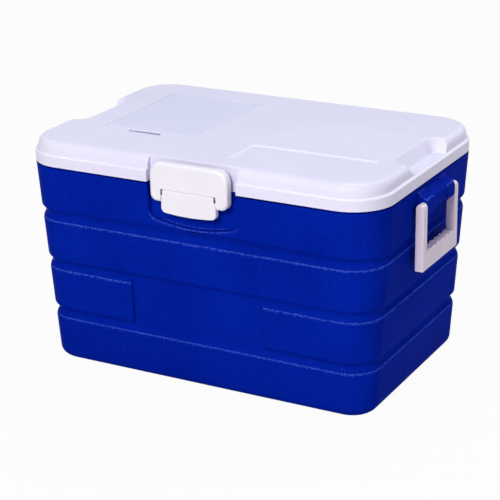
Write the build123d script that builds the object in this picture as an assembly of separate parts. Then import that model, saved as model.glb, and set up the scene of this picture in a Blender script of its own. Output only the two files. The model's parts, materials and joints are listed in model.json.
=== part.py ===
from build123d import *
from math import cos, radians, sin, sqrt, tan
import os

os.makedirs("parts", exist_ok=True)

# A hard insulated carrier: a drafted, banded tub, a domed lid on two butt hinges, a small
# access hatch in the lid, a two-piece front latch and a swinging bail handle at each end.
# Millimetres. X runs left to right, the latch faces -Y, +Z is up, and the origin is the
# middle of the base, on the floor. "Inset" means inwards from the outline at the seam.

# ---------------------------------------------------------------- tub, outside
LENGTH = 600.0          # left to right, at the seam
DEPTH = 403.0           # front to back, at the seam
SEAM_Z = 328.0          # floor to the seam between tub and lid
CORNER_R = 64.0         # plan corners, at the seam
DRAFT = 4.0             # degrees that the sides lean in
SKIN = 3.0              # outer skin of the tub
FLOOR = 5.0             # base of the outer skin
TOP_BEVEL = 1.6         # upper edge of the skin
BASE_BEVEL = 9.0        # edge under the sides
GROOVE_COUNT = 3
GROOVE_TOP = 81.0       # seam to the middle of the first groove
GROOVE_PITCH = 82.5
GROOVE_DEPTH = 5.2
UNDERCUT_H = 10.0       # from a band's lower edge to the middle of the groove
CREST_H = 11.5          # from the middle of the groove to the next band's crest
GROOVE_FLOOR_H = 5.0
CREST_H_BEVEL = 4.4     # height of the flat that softens each crest
CREST_IN = 0.7          # how far that flat's upper edge stands in
PANEL_W = 228.0         # plain panel on the front
PANEL_BAND = 2          # the band that holds it, counted from 0 at the top
BASE_RIM = 26.0         # width of the base's rim and of its cross
BASE_PANEL_DEPTH = 2.0

# ---------------------------------------------------------------- tub, inside
COLD_LENGTH = 500.0     # cold space at its mouth
COLD_DEPTH = 303.0
COLD_HEIGHT = 283.0
COLD_CORNER_R = 32.0
COLD_DRAFT = 2.5
COLD_FLOOR_BEVEL = 10.0
LINER = 2.2             # wall of the inner mouldings
FLANGE = 2.5            # rim flange of the liners
LINER_FIT = 0.2         # between a flange's edge and the skin round it

# ---------------------------------------------------------------- lid
SEAM_GAP = 0.8
LID_RISE = 39.5         # seam to the top of the lid
RIM_H = 19.3            # seam to the top of the lid's rim band
RIM_BEVEL = 2.0
LEDGE = 4.6             # rim face to the foot of the dome
DOME_LEAN = 1.2
SHOULDER_R = 14.5
LID_WALL = 2.6
PLUG_DROP = 16.0        # how far the lid's plug reaches into the cold space
PLUG_CLEARANCE = 4.0
PLUG_BEVEL = 2.5

# Hand notches at both ends of the lid
NOTCH_W = 126.0         # at the floor of the notch
NOTCH_REACH = 36.0      # rim face to the top of the inner wall
NOTCH_FLARE = 31.0      # degrees that its walls lean
NOTCH_R = 9.0

# Shallow tray in the lid
TRAY_LEFT, TRAY_RIGHT = 43.0, 250.0
TRAY_FRONT, TRAY_BACK = -158.0, -77.0
TRAY_DEPTH = 2.4
TRAY_CORNER_R = 7.0

# ---------------------------------------------------------------- access hatch
HATCH_X, HATCH_Y = -135.0, 24.0     # middle of the hatch
HATCH_W, HATCH_L = 164.0, 214.0
HATCH_CORNER_R = 5.0
HATCH_GAP = 1.5
HINGE_SIDE_GAP = 0.5    # behind the hatch's rolled rear edge
HATCH_T = 8.0
HATCH_SKIN = 2.6
HATCH_BEVEL = 0.8
HATCH_RIM = 14.0        # from the hatch's edge to its plug
HATCH_PLUG_R = 5.0      # corners of the plug
HATCH_PLUG = 26.0       # depth of the plug under the cover
HATCH_PLUG_GAP = 3.5
HATCH_PIN_R = 1.5
HATCH_PIN_SEAT = 7.0    # how far each end of the pin sits in the lid
HATCH_BOSS_R = 3.5      # the bosses that hold it
GASKET_W, GASKET_H = 5.0, 2.0
GASKET_INSET = 7.5      # hatch's edge to the middle of its gasket
THUMB_W, THUMB_L, THUMB_DEPTH = 56.0, 13.0, 9.0
THUMB_X = -140.0

# ---------------------------------------------------------------- lid seal
SEAL_INSET = 34.0       # to the middle of the lip
SEAL_W = 8.0
SEAL_RISE = 4.0         # how far the seal's root sits up in the lid liner
SEAL_GAP = 0.1

# ---------------------------------------------------------------- latch
LATCH_X = 4.0
LATCH_W = 130.0
LATCH_TOP, LATCH_FOOT = 36.0, -24.0     # from the seam
LATCH_PROUD = 8.3       # in front of the rim face
LATCH_TOP_R, LATCH_FOOT_R = 19.0, 11.0
LATCH_T = 2.8
LATCH_DEEP = 14.0       # depth of its side walls
LATCH_BEVEL = 2.8
LATCH_SIDE_SKIN = 1.2   # left over the ends of its rod
RECESS_W = 150.0        # recess in the lid and scoop in the tub
RECESS_DEPTH = 13.5
SCOOP_FOOT = 65.0       # seam to the lowest point of the scoop
SCOOP_SAG = 11.0        # rise of the scoop's foot from its middle to its sides
SCOOP_CORNER_R = 13.0
SCOOP_LEAN = 2.5
SCOOP_CUT = 40.0        # reach of its cutter, out of the wall and into it
PIVOT_DROP = 7.0        # top of the latch to its pivot
PIVOT_IN = 10.8         # face of the latch to its pivot
PIVOT_R = 2.0
EAR_R = 4.0
EAR_W = 12.0
EAR_SPREAD = 40.0
LEVER_W = 92.0
LEVER_TOP = -4.6        # from the seam
LEVER_FOOT = -42.5
LEVER_SAG = 3.0
LEVER_GAP = 0.6
LEVER_SLOT_W, LEVER_SLOT_H = 3.0, 9.0
LEVER_CORNER_R = 8.0
LEVER_BEVEL = 1.0
LEVER_DEEP = 8.5
BEAD_R = 3.0            # rolled top edge of the lever
LEVER_PIN_R = 1.25
CATCH_DROP = 12.0       # seam to the top of the catch
CATCH_H = 5.0
CATCH_SIDE_GAP = 1.5
HOOK_H = 3.0
HOOK_REACH = 6.0        # how far the hooks reach in behind the latch's face
SNAP_GAP = 0.3

# ---------------------------------------------------------------- handles
HANDLE_W = 134.0
ARM_W = 14.0
HANDLE_T = 13.5
HANDLE_DROP = 97.0      # pivot to the bottom of the grip
GRIP_H = 30.0
HANDLE_PIVOT_DROP = 28.0        # seam to the pivot
HANDLE_OUT = 9.2        # seam face to the pivot
GRIP_BUMPS = 6
BUMP_RISE = 3.0
BUMP_ROOT = 5.0         # least height of a bump's root over the foot of the grip
HANDLE_EDGE_R = 1.8
STUB_R = 4.0
STUB_LENGTH = 8.0
STUB_END_GAP = 1.0
LUG_GAP = 0.8           # between lug and arms
LUG_TOP_DROP = 9.0      # seam to the top of the lug at the wall
LUG_SLOPE = 32.0        # degrees that its top slopes down
LUG_FOOT_DROP = 43.0
LUG_NOSE_R = 10.0
LUG_CHIN_R = 8.0
LUG_BOSS = 26.0         # length of the thicker ends
LUG_STEP = 1.4

# ---------------------------------------------------------------- lid hinges
HINGE_SPREAD = 150.0    # middle of the lid to each hinge
HINGE_W = 60.0
LEAF_T = 2.5
LEAF_DROP = 30.0
LEAF_RISE = 16.4
KNUCKLE_R = 4.0
KNUCKLE_W = 20.0        # the middle one
KNUCKLE_GAP = 0.3
HINGE_PIN_R = 2.0
SCREW_SPREAD = 20.0     # middle of the hinge to each screw
BODY_SCREW_DROP = 18.0  # seam to the screws in the tub
LID_SCREW_RISE = 10.8   # seam to the screws in the lid
SCREW_R = 1.9
SCREW_L = 12.0
SCREW_HEAD_R = 4.0
SCREW_CROWN_R = 2.8     # flat top of the head
SCREW_HEAD_H = 2.0
SCREW_GAP = 0.05
BLOCK_T = 14.0          # solid blocks that take the screws
BLOCK_MARGIN = 5.0

RUNNING = 0.05          # radial play of a pin in its hole
CLEAR = 0.3             # between moulded faces that pass each other
SLIVER = 0.01           # left between two rounds that almost meet
FLATS = 3               # flats that stand for a round corner where foam hides it
RING_SHARE = 0.75       # of the corner radius: how far in the swept ring of a block reaches

# ---------------------------------------------------------------- places worked out from them
FRONT = -DEPTH / 2
BACK = DEPTH / 2
END = LENGTH / 2
LID_BOTTOM = SEAM_Z + SEAM_GAP
LID_TOP = SEAM_Z + LID_RISE
RIM_TOP = SEAM_Z + RIM_H
RECESS_Y = FRONT + RECESS_DEPTH
LATCH_FACE = FRONT - LATCH_PROUD
LATCH_PIVOT = (LATCH_FACE + PIVOT_IN, SEAM_Z + LATCH_TOP - PIVOT_DROP)
LEVER_PIVOT = (LATCH_FACE + BEAD_R, SEAM_Z + LEVER_TOP - BEAD_R)
HANDLE_PIVOT = (END + HANDLE_OUT, SEAM_Z - HANDLE_PIVOT_DROP)
HINGE_PIVOT = (BACK + KNUCKLE_R + KNUCKLE_GAP, SEAM_Z + SEAM_GAP / 2)
HATCH_REAR = HATCH_Y + HATCH_L / 2
HATCH_PIVOT = (HATCH_REAR - HATCH_T / 2, LID_TOP - HATCH_T / 2)
HATCH_LEDGE_Z = LID_TOP - HATCH_T - GASKET_H - SEAL_GAP
ARM_INNER = HANDLE_W / 2 - ARM_W


# ---------------------------------------------------------------- shared shapes
def side_inset(z):
    """How far the drafted side stands inside the seam outline at height z."""
    return (SEAM_Z - z) * tan(radians(DRAFT))


def seam_line():
    """The outline at the seam, closed, starting in the middle of the right-hand end."""
    corners = [(END, 0), (END, BACK), (-END, BACK), (-END, FRONT), (END, FRONT)]
    return FilletPolyline(*corners, radius=[0] + [CORNER_R] * 4, close=True)


def swept(outline):
    """A ring whose section is a list of (inset, height, corner radius)."""
    points = [(END - inset, 0, z) for inset, z, _ in outline]
    section = make_face(FilletPolyline(*points, radius=[r for _, _, r in outline], close=True))
    return sweep(section, path=seam_line())


def block(outline):
    """A solid whose sides follow the outline, listed from its top to its bottom."""
    inner = CORNER_R * RING_SHARE
    top, bottom = outline[0][1], outline[-1][1]
    ring = swept(outline + [(inner, bottom, 0), (inner, top, 0)])
    overlap = inner - (CORNER_R - inner) / 2
    plan = RectangleRounded(LENGTH - 2 * overlap, DEPTH - 2 * overlap, CORNER_R - overlap)
    return ring + Pos(0, 0, bottom) * extrude(plan, top - bottom)


def flat_cornered(length, width, corner_r, outside=False):
    """A rounded rectangle with flats for its corners, inside the round ones or outside them."""
    half_turn = 45 / FLATS
    count = FLATS if outside else FLATS + 1
    radius = corner_r / cos(radians(half_turn)) if outside else corner_r
    first = half_turn if outside else 0
    points = []
    for quarter, (sx, sy) in enumerate(((1, 1), (-1, 1), (-1, -1), (1, -1))):
        for n in range(count):
            turn = radians(90 * quarter + first + 2 * half_turn * n)
            points.append((sx * (length / 2 - corner_r) + radius * cos(turn),
                           sy * (width / 2 - corner_r) + radius * sin(turn)))
    return make_face(Polyline(*points, close=True))


def hidden_block(levels):
    """A flat-cornered solid through (inset, height) levels, from its top to its bottom."""
    return loft([Pos(0, 0, z) * flat_cornered(LENGTH - 2 * inset, DEPTH - 2 * inset,
                                              CORNER_R - inset)
                 for inset, z in reversed(levels)], ruled=True)


def box(x, y, z):
    """A box from its (low, high) limits along each axis."""
    middle = [(low + high) / 2 for low, high in (x, y, z)]
    size = [high - low for low, high in (x, y, z)]
    return Pos(*middle) * Box(*size)


def along_x(face_points, radii, x0, x1):
    """A prism along X from points (y, z) with a fillet radius at each."""
    points = [(x0, y, z) for y, z in face_points]
    face = make_face(FilletPolyline(*points, radius=radii, close=True))
    return extrude(face, amount=x1 - x0, dir=(1, 0, 0))


def along_y(face_points, radii, y0, y1):
    """A prism along Y from points (x, z) with a fillet radius at each."""
    points = [(x, y0, z) for x, z in face_points]
    face = make_face(FilletPolyline(*points, radius=radii, close=True))
    return extrude(face, amount=y1 - y0, dir=(0, 1, 0))


def rod_x(radius, x0, x1, centre):
    """A round bar along X through (y, z)."""
    return Pos((x0 + x1) / 2, *centre) * Rot(0, 90, 0) * Cylinder(radius, x1 - x0)


def rod_y(radius, y0, y1, centre):
    """A round bar along Y through (x, z)."""
    x, z = centre
    return Pos(x, (y0 + y1) / 2, z) * Rot(90, 0, 0) * Cylinder(radius, y1 - y0)


def sagging(width, top, foot, sag, corner_r, y):
    """A face in the XZ plane with a bowed foot, lowest in the middle."""
    half = width / 2
    x0, x1 = LATCH_X - half, LATCH_X + half
    sides = Polyline((x0, y, foot + sag), (x0, y, top), (x1, y, top), (x1, y, foot + sag))
    bow = ThreePointArc((x1, y, foot + sag), (LATCH_X, y, foot), (x0, y, foot + sag))
    face = make_face(sides + bow)
    return fillet(face.vertices().sort_by(Axis.Z)[:2], corner_r)


# ---------------------------------------------------------------- tub
def side_outline():
    """The banded outside of the tub, from top to bottom."""
    points = [(TOP_BEVEL, SEAM_Z, 0), (side_inset(SEAM_Z - TOP_BEVEL), SEAM_Z - TOP_BEVEL, 0)]
    for n in range(GROOVE_COUNT):
        middle = SEAM_Z - GROOVE_TOP - n * GROOVE_PITCH
        edge, crest = middle + UNDERCUT_H, middle - CREST_H
        floor = side_inset(middle) + GROOVE_DEPTH
        points.append((side_inset(edge), edge, 0))
        points.append((floor, middle + GROOVE_FLOOR_H / 2, 0))
        points.append((floor, middle - GROOVE_FLOOR_H / 2, 0))
        points.append((side_inset(crest) + CREST_IN, crest + CREST_H_BEVEL / 2, 0))
        points.append((side_inset(crest - CREST_H_BEVEL / 2), crest - CREST_H_BEVEL / 2, 0))
    points.append((side_inset(BASE_BEVEL), BASE_BEVEL, 0))
    return points + [(side_inset(0) + BASE_BEVEL, 0, 0)]


def hollow_levels():
    """The inside of the skin under the liner's flange: it follows the bands."""
    top = SEAM_Z - FLANGE
    levels = [(side_inset(top) + SKIN, top)]
    for n in range(GROOVE_COUNT):
        middle = SEAM_Z - GROOVE_TOP - n * GROOVE_PITCH
        edge, crest = middle + UNDERCUT_H, middle - CREST_H
        levels.append((side_inset(edge) + SKIN, edge))
        levels.append((side_inset(middle) + GROOVE_DEPTH + SKIN, middle))
        levels.append((side_inset(crest) + SKIN, crest))
    bevel = BASE_BEVEL + SKIN * sqrt(2)
    levels.append((side_inset(bevel - SKIN) + SKIN, bevel - SKIN))
    return levels + [(side_inset(FLOOR) + bevel - FLOOR, FLOOR)]


def scoop(wall=0.0):
    """The finger scoop under the latch, as a cutter grown by a wall."""
    depth = RECESS_Y + wall
    foot = SEAM_Z - SCOOP_FOOT
    front = FRONT - SCOOP_CUT
    outline = sagging(RECESS_W + 2 * wall, SEAM_Z + CLEAR, foot - wall, SCOOP_SAG,
                      SCOOP_CORNER_R + wall, front)
    across = extrude(outline, amount=2 * SCOOP_CUT, dir=(0, 1, 0))
    lean = depth - SCOOP_LEAN
    side = [(front - 1, SEAM_Z + 1), (depth, SEAM_Z + 1), (lean, foot - wall - 1),
            (front - 1, foot - wall - 1)]
    return across & along_x(side, [0] * 4, LATCH_X - RECESS_W, LATCH_X + RECESS_W)


def front_panel(wall=0.0):
    """The plain panel between two grooves at the front, as a cutter grown by a wall."""
    upper = SEAM_Z - GROOVE_TOP - (PANEL_BAND - 1) * GROOVE_PITCH
    lower = upper - GROOVE_PITCH
    top, foot = upper - GROOVE_FLOOR_H / 2, lower + GROOVE_FLOOR_H / 2
    y_top = FRONT + side_inset(upper) + GROOVE_DEPTH + wall
    y_foot = FRONT + side_inset(lower) + GROOVE_DEPTH + wall
    side = [(FRONT - 1, top + wall), (y_top, top + wall), (y_foot, foot - wall),
            (FRONT - 1, foot - wall)]
    half = PANEL_W / 2 + wall
    return along_x(side, [0] * 4, -half, half)


def hinge_block(x, grow=0.0):
    """A solid block behind a hinge leaf on the tub, flush with the seam face."""
    half = HINGE_W / 2 + BLOCK_MARGIN + grow
    foot = SEAM_Z - LEAF_DROP - BLOCK_MARGIN - grow
    return box((x - half, x + half), (BACK - BLOCK_T - grow, BACK), (foot, SEAM_Z))


def lug_prism(y0, y1, step=0.0):
    """A length of the right-hand lug, with its nose moved in by a step."""
    nose = HANDLE_PIVOT[0] + HANDLE_T / 2 + CLEAR - step
    top, foot = SEAM_Z - LUG_TOP_DROP - step, SEAM_Z - LUG_FOOT_DROP + step
    slope = tan(radians(LUG_SLOPE))
    points = [(END - SKIN / 2, top + SKIN / 2 * slope), (nose, top - (nose - END) * slope),
              (nose, foot), (END - side_inset(foot) - SKIN / 2, foot)]
    return along_y(points, [0, LUG_NOSE_R, LUG_CHIN_R, 0], y0, y1)


def handle_lug():
    """The moulded lug between the arms of the right-hand handle, with a thicker boss each end."""
    half = ARM_INNER - LUG_GAP
    lug = lug_prism(-half, half, LUG_STEP)
    lug += lug_prism(-half, LUG_BOSS - half)
    lug += lug_prism(half - LUG_BOSS, half)
    for y0, y1 in ((-half - 1, STUB_LENGTH - half), (half - STUB_LENGTH, half + 1)):
        lug -= rod_y(STUB_R + RUNNING, y0, y1, HANDLE_PIVOT)
    return lug


def catch_bar():
    """The bar in the scoop that the latch hooks under."""
    top = SEAM_Z - CATCH_DROP
    nose = LATCH_FACE + LATCH_T + HOOK_REACH + SNAP_GAP
    half = LATCH_W / 2 - LATCH_T - CATCH_SIDE_GAP
    root = RECESS_Y + SKIN / 2
    return box((LATCH_X - half, LATCH_X + half), (nose, root), (top - CATCH_H, top))


def tub_hollow(mouth):
    """What the tub's skin leaves for the foam and, with its mouth, for the liner's flange."""
    space = hidden_block(hollow_levels())
    if mouth:
        space += block([(SKIN, SEAM_Z + 1, 0), (SKIN, SEAM_Z - FLANGE, 0)])
    space -= scoop(SKIN) + front_panel(SKIN)
    for x in (-HINGE_SPREAD, HINGE_SPREAD):
        space -= hinge_block(x)
    return space


def base_panels():
    """Four shallow panels in the underside, which leave a rim and a cross to stand on."""
    inset = side_inset(0) + BASE_RIM
    length = LENGTH / 2 - inset - BASE_RIM / 2
    width = DEPTH / 2 - inset - BASE_RIM / 2
    panel = extrude(flat_cornered(length, width, BASE_RIM / 2), BASE_PANEL_DEPTH)
    x, y = (BASE_RIM + length) / 2, (BASE_RIM + width) / 2
    return [Pos(sx * x, sy * y, 0) * panel for sx in (-1, 1) for sy in (-1, 1)]


def outer_shell():
    """The tub's outer skin."""
    skin = block(side_outline()) - scoop() - front_panel()
    for x in (-HINGE_SPREAD, HINGE_SPREAD):
        skin += hinge_block(x)
    skin -= tub_hollow(mouth=True)
    lug = handle_lug()
    skin += lug + mirror(lug, Plane.YZ) + catch_bar()
    for x, y, z in screw_places(-1):
        skin -= rod_y(SCREW_R + SCREW_GAP, BACK - SCREW_L, y + 1, (x, z))
    for panel in base_panels():
        skin -= panel
    return skin


def cold_space():
    """The cold space, open at its mouth."""
    plan = RectangleRounded(COLD_LENGTH, COLD_DEPTH, COLD_CORNER_R)
    space = Pos(0, 0, SEAM_Z) * extrude(plan, amount=-COLD_HEIGHT, taper=COLD_DRAFT)
    space = chamfer(space.faces().sort_by(Axis.Z)[0].edges(), COLD_FLOOR_BEVEL)
    return space + Pos(0, 0, SEAM_Z) * extrude(plan, 1)


def liner_pan():
    """The outside of the liner's walls and floor."""
    height = COLD_HEIGHT + LINER
    levels = []
    for depth, bevel in ((height, COLD_FLOOR_BEVEL), (height - COLD_FLOOR_BEVEL, 0), (0, 0)):
        grow = LINER - depth * tan(radians(COLD_DRAFT)) - bevel
        levels.append(Pos(0, 0, SEAM_Z - depth)
                      * flat_cornered(COLD_LENGTH + 2 * grow, COLD_DEPTH + 2 * grow,
                                      COLD_CORNER_R + grow, outside=True))
    return loft(levels, ruled=True)


def inner_liner():
    """The tub's white liner, with the flange that closes the top of the wall."""
    edge = SKIN + LINER_FIT
    flange = block([(edge, SEAM_Z, 0), (edge, SEAM_Z - FLANGE, 0)])
    flange -= scoop(edge)
    for x in (-HINGE_SPREAD, HINGE_SPREAD):
        flange -= hinge_block(x, LINER_FIT)
    return flange + liner_pan() - cold_space()


def body_foam():
    """The foam poured between the tub's skin and its liner."""
    return tub_hollow(mouth=False) - liner_pan()


# ---------------------------------------------------------------- lid
def lid_outline():
    """The domed side of the lid from its top to its bottom."""
    return [(LEDGE + DOME_LEAN, LID_TOP, SHOULDER_R), (LEDGE, RIM_TOP, 0),
            (RIM_BEVEL, RIM_TOP, 0), (0, RIM_TOP - RIM_BEVEL, 0), (0, LID_BOTTOM, 0)]


def lid_shell_hollow():
    """The inside of the lid's skin, with a bevel under the shoulder."""
    bevel = SHOULDER_R * (2 - sqrt(2))
    wall = LEDGE + LID_WALL
    roof = LID_TOP - LID_WALL
    step = RIM_TOP - LID_WALL
    dome = hidden_block([(wall + bevel, roof), (wall, roof - bevel), (wall, step)])
    seat = LID_BOTTOM + FLANGE
    rim = hidden_block([(LID_WALL, step), (LID_WALL, seat)])
    return dome + rim + block([(LID_WALL, seat, 0), (LID_WALL, LID_BOTTOM, 0)])


def plan_shape(length, width, corner_r, wall):
    """A rounded rectangle, grown by a wall; the hidden, grown one has square corners."""
    if wall:
        return Rectangle(length + 2 * wall, width + 2 * wall)
    return RectangleRounded(length, width, corner_r)


def hand_notch(side, wall=0.0):
    """The hand notch in one end of the lid, as a cutter grown by a wall."""
    height = LID_TOP - RIM_TOP + wall + 1
    slope = (height - 1) * tan(radians(NOTCH_FLARE))
    inner, outer = END - NOTCH_REACH + slope, END + NOTCH_REACH
    plan = plan_shape(outer - inner, NOTCH_W, NOTCH_R, wall)
    cutter = extrude(plan, amount=height, taper=-NOTCH_FLARE)
    return Pos(side * (inner + outer) / 2, 0, RIM_TOP - wall) * cutter


def tray(wall=0.0):
    """The shallow tray, with sloping edges."""
    depth = TRAY_DEPTH + wall
    plan = plan_shape(TRAY_RIGHT - TRAY_LEFT - 2 * TRAY_DEPTH,
                      TRAY_BACK - TRAY_FRONT - 2 * TRAY_DEPTH, TRAY_CORNER_R, wall)
    cutter = extrude(plan, amount=depth + 1, taper=-45)
    return Pos((TRAY_LEFT + TRAY_RIGHT) / 2, (TRAY_FRONT + TRAY_BACK) / 2, LID_TOP - depth) * cutter


def latch_recess(wall=0.0):
    """The recess in the lid's front that takes the latch."""
    half = RECESS_W / 2 + wall
    return box((LATCH_X - half, LATCH_X + half), (FRONT - 1, RECESS_Y + wall),
               (LID_BOTTOM - 1, LID_TOP + 1))


def hatch_plan(grow, corner_r=HATCH_CORNER_R):
    """The hatch's outline grown by an amount."""
    return Pos(HATCH_X, HATCH_Y) * RectangleRounded(HATCH_W + 2 * grow, HATCH_L + 2 * grow,
                                                    max(corner_r + grow, 1))


def hatch_pocket(wall=0.0):
    """The pocket that the hatch lies in, square and close at the rear, where the hatch turns."""
    foot = HATCH_LEDGE_Z - wall
    side = HATCH_GAP + wall
    rear = HATCH_REAR + HINGE_SIDE_GAP + wall
    pocket = Pos(0, 0, foot) * extrude(hatch_plan(side), LID_TOP + 1 - foot)
    pocket += box((HATCH_X - HATCH_W / 2 - side, HATCH_X + HATCH_W / 2 + side), (HATCH_Y, rear),
                  (foot, LID_TOP + 1))
    return pocket - box((-END, END), (rear, BACK), (foot - 1, LID_TOP + 2))


def hatch_opening(wall=0.0, foot=0.0):
    """The way through the lid under the hatch."""
    plan = hatch_plan(HATCH_PLUG_GAP - HATCH_RIM + wall, HATCH_RIM + HATCH_PLUG_R)
    return Pos(0, 0, foot) * extrude(plan, HATCH_LEDGE_Z + 1 - foot)


def thumb_notch(wall=0.0):
    """The notch at the hatch's front edge that a thumb lifts it by."""
    front = HATCH_Y - HATCH_L / 2 - THUMB_L
    half = THUMB_W / 2 + wall
    return box((THUMB_X - half, THUMB_X + half), (front - wall, HATCH_Y - HATCH_L / 2),
               (LID_TOP - THUMB_DEPTH - wall, LID_TOP + 1))


def lid_hinge_block(x, grow=0.0):
    """A solid block in the lid's rim behind a hinge leaf."""
    half = HINGE_W / 2 + BLOCK_MARGIN + grow
    return box((x - half, x + half), (BACK - BLOCK_T - grow, BACK),
               (LID_BOTTOM, RIM_TOP - LID_WALL / 2))


def pin_seats():
    """Bosses in the pocket's side walls that hold the ends of the hatch's pin."""
    half = HATCH_W / 2 + HATCH_GAP
    seats = []
    for side in (-1, 1):
        x0 = HATCH_X + side * half
        x1 = x0 + side * HATCH_PIN_SEAT
        seats.append(rod_x(HATCH_BOSS_R, min(x0, x1), max(x0, x1), HATCH_PIVOT))
    return seats


def lid_hollow():
    """What the lid's skin leaves for the foam."""
    space = lid_shell_hollow()
    space -= latch_recess(LID_WALL)
    space -= hand_notch(-1, LID_WALL)
    space -= hand_notch(1, LID_WALL)
    space -= tray(LID_WALL)
    space -= hatch_pocket(LID_WALL)
    space -= hatch_opening(LID_WALL, LID_BOTTOM - 1)
    space -= thumb_notch(LID_WALL)
    for x in (-HINGE_SPREAD, HINGE_SPREAD):
        space -= lid_hinge_block(x)
    for seat in pin_seats():
        space -= seat
    return space


def latch_ears():
    """Two ears in the recess that carry the latch's rod; each rises to it from below."""
    y, z = LATCH_PIVOT
    root = RECESS_Y + LID_WALL / 2
    points = [(y - EAR_R, z), (y, z), (root, z - EAR_R), (root, z - 4 * EAR_R),
              (y - EAR_R, z - 2 * EAR_R)]
    ears = []
    for x in (-EAR_SPREAD, EAR_SPREAD):
        x0, x1 = LATCH_X + x - EAR_W / 2, LATCH_X + x + EAR_W / 2
        ear = along_x(points, [0] * len(points), x0, x1) + rod_x(EAR_R, x0, x1, (y, z))
        ears.append(ear - rod_x(PIVOT_R + RUNNING, x0 - 1, x1 + 1, (y, z)))
    return ears


def collar():
    """The wall round the way through the lid, from the hatch's ledge to the lid's liner."""
    foot = SEAM_Z - PLUG_DROP + LINER
    return hatch_opening(LID_WALL, foot) & box((-LENGTH, LENGTH), (-DEPTH, DEPTH),
                                               (foot, HATCH_LEDGE_Z))


def lid_shell():
    """The lid's outer skin."""
    skin = block(lid_outline())
    skin -= lid_hollow()
    skin += collar()
    for cutter in (latch_recess(), hand_notch(-1), hand_notch(1), tray(), hatch_pocket(),
                   hatch_opening(0, SEAM_Z - PLUG_DROP), thumb_notch()):
        skin -= cutter
    half = HATCH_W / 2 + HATCH_GAP + HATCH_PIN_SEAT - 1
    skin -= rod_x(HATCH_PIN_R + RUNNING / 2, HATCH_X - half, HATCH_X + half, HATCH_PIVOT)
    for ear in latch_ears():
        skin += ear
    for x, y, z in screw_places(1):
        skin -= rod_y(SCREW_R + SCREW_GAP, BACK - SCREW_L, y + 1, (x, z))
    return skin


def lid_plug():
    """The plug under the lid."""
    inset = PLUG_CLEARANCE
    plan = RectangleRounded(COLD_LENGTH - 2 * inset, COLD_DEPTH - 2 * inset, COLD_CORNER_R - inset)
    top = LID_BOTTOM + FLANGE
    height = top - SEAM_Z + PLUG_DROP
    plug = Pos(0, 0, top) * extrude(plan, amount=-height, taper=COLD_DRAFT)
    return chamfer(plug.faces().sort_by(Axis.Z)[0].edges(), PLUG_BEVEL)


def plug_hollow():
    """What the plug's skin leaves for the foam."""
    top = LID_BOTTOM + FLANGE
    height = top - SEAM_Z + PLUG_DROP - LINER
    levels = []
    for depth in (height, 0):
        inset = PLUG_CLEARANCE + LINER + depth * tan(radians(COLD_DRAFT))
        levels.append(Pos(0, 0, top - depth)
                      * flat_cornered(COLD_LENGTH - 2 * inset, COLD_DEPTH - 2 * inset,
                                      COLD_CORNER_R - inset))
    return loft(levels, ruled=True)


def seal_channel(wall=0.0):
    """The channel in the lid's liner that holds the seal."""
    half = SEAL_W / 2 + wall
    top = LID_BOTTOM + SEAL_RISE + wall
    return swept([(SEAL_INSET - half, top, 0), (SEAL_INSET - half, LID_BOTTOM - 1, 0),
                  (SEAL_INSET + half, LID_BOTTOM - 1, 0), (SEAL_INSET + half, top, 0)])


def liner_body():
    """The lid's liner as a solid, before it is hollowed."""
    edge = LID_WALL + LINER_FIT
    flange = block([(edge, LID_BOTTOM + FLANGE, 0), (edge, LID_BOTTOM, 0)])
    solid = flange + lid_plug()
    channel = seal_channel(LINER) & block([(edge, LID_TOP, 0), (edge, LID_BOTTOM, 0)])
    solid += channel
    solid -= latch_recess(edge)
    for x in (-HINGE_SPREAD, HINGE_SPREAD):
        solid -= lid_hinge_block(x, LINER_FIT)
    return solid


def lid_liner():
    """The white moulding that closes the lid from below."""
    solid = liner_body() - plug_hollow() - seal_channel()
    return solid - hatch_opening(0, 0)


def lid_foam():
    """The foam in the lid."""
    above = lid_hollow() & box((-LENGTH, LENGTH), (-DEPTH, DEPTH), (LID_BOTTOM + FLANGE, LID_TOP))
    plug = plug_hollow() - hatch_opening(LID_WALL, 0)
    return above + plug - seal_channel(LINER)


def lid_seal():
    """The soft lip that closes on the tub's flange."""
    half = SEAL_W / 2 - SEAL_GAP
    top, foot = LID_BOTTOM + SEAL_RISE, SEAM_Z + SEAL_GAP
    lip = SEAL_W / 4
    return swept([(SEAL_INSET - half, top, 0), (SEAL_INSET - half, LID_BOTTOM, 0),
                  (SEAL_INSET - lip, foot, 0), (SEAL_INSET + lip, foot, 0),
                  (SEAL_INSET + half, LID_BOTTOM, 0), (SEAL_INSET + half, top, 0)])


# ---------------------------------------------------------------- hatch
def hatch_cover():
    """The hatch's cover: a skin with a rolled rear edge that turns on the pin."""
    slab = Pos(0, 0, LID_TOP - HATCH_T) * extrude(hatch_plan(0), HATCH_T)
    x0, x1 = HATCH_X - HATCH_W / 2, HATCH_X + HATCH_W / 2
    y, z = HATCH_PIVOT
    slab -= box((x0 - 1, x1 + 1), (y, HATCH_REAR + 1), (z - HATCH_T, z + HATCH_T))
    top = slab.faces().sort_by(Axis.Z)[-1]
    slab = chamfer(top.edges().sort_by(Axis.Y)[0:-1], HATCH_BEVEL)
    slab += rod_x(HATCH_T / 2, x0, x1, HATCH_PIVOT)
    hollow = Pos(0, 0, LID_TOP - HATCH_T) * extrude(hatch_plan(-HATCH_RIM, HATCH_RIM + HATCH_PLUG_R),
                                                    HATCH_T - HATCH_SKIN)
    slab -= hollow
    return slab - rod_x(HATCH_PIN_R + RUNNING, x0 - 1, x1 + 1, HATCH_PIVOT)


def hatch_plug(wall, top):
    """The plug under the cover, moved in by a wall, up to a height inside the cover."""
    plan = hatch_plan(-HATCH_RIM - RUNNING - wall, HATCH_RIM + HATCH_PLUG_R)
    foot = LID_TOP - HATCH_T - HATCH_PLUG + wall
    return Pos(0, 0, foot) * extrude(plan, top - foot)


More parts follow.
